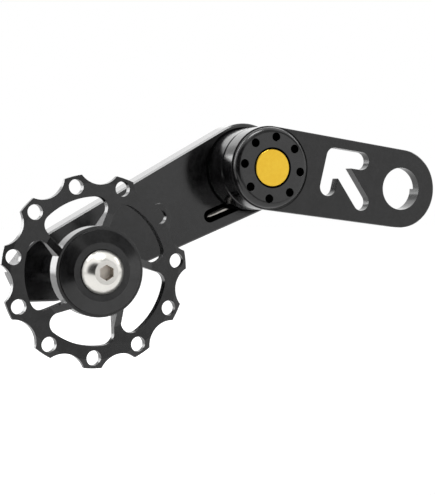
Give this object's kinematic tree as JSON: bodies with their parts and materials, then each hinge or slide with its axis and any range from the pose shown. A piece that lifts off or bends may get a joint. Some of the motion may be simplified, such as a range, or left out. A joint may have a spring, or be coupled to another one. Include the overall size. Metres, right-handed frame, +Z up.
{
  "type": "bicycle chain tensioner",
  "caption": "Sprung bicycle chain tensioner: flat hanger arm with arrow cut-out, torsion spring barrel, tapered pulley arm and spoked toothed pulley wheel on a sealed ball bearing.",
  "frame": {"origin": "centre of the hanger hole on the mounting arm's seating face", "axes": "+X along the mounting arm away from the pulley, +Y along the hanger hole towards the outboard side, +Z up"},
  "size_m": [0.1154, 0.0443, 0.0553],
  "materials": {
    "anodised_black": "machined and black anodised, satin to semi-gloss",
    "anodised_gold": "turned and gold anodised, satin",
    "stainless_steel": "bright stainless steel",
    "spring_steel": "drawn spring wire",
    "bearing_steel": "ground bearing steel",
    "bush_bronze": "sintered bronze",
    "black_nylon": "black nylon",
    "seal_rubber": "black rubber seal"
  },
  "bodies": {
    "mount": {"mount_arm": "anodised_black", "pivot_cap": "anodised_black", "pivot_axle": "anodised_gold", "thrust_washer": "black_nylon", "pivot_washer": "stainless_steel", "pivot_screw": "stainless_steel"},
    "swing_arm": {"pulley_arm": "anodised_black", "front_bush": "bush_bronze", "rear_bush": "bush_bronze", "torsion_spring": "spring_steel", "pulley_spacer": "anodised_black", "pulley_bolt": "stainless_steel", "front_dust_cover": "anodised_black", "rear_dust_cover": "anodised_black", "bearing_inner_ring": "bearing_steel"},
    "pulley": {"pulley_wheel": "anodised_black", "bearing_outer_ring": "bearing_steel", "front_seal": "seal_rubber", "rear_seal": "seal_rubber"},
    "ball_cage": {"bearing_balls": "bearing_steel", "bearing_cage": "black_nylon"}
  },
  "joints": [
    {"name": "arm_swing", "type": "hinge", "parent": "mount", "child": "swing_arm", "pos_m": [-0.03658, 0.0115, 0.00482], "axis": [0, 1, 0], "range_deg": [-20, 70], "stiffness_Nm_per_rad": 0.27, "springref_deg": 3.38, "deforming": ["torsion_spring"]},
    {"name": "pulley_spin", "type": "hinge", "parent": "swing_arm", "child": "pulley", "pos_m": [-0.08478, -0.0129, -0.01817], "axis": [0, 1, 0], "continuous": true},
    {"name": "cage_spin", "type": "hinge", "parent": "swing_arm", "child": "ball_cage", "pos_m": [-0.08478, -0.0129, -0.01817], "axis": [0, 1, 0], "continuous": true}
  ],
  "couplings": [
    {"joint": "cage_spin", "follows": "pulley_spin", "ratio": 0.6111}
  ]
}
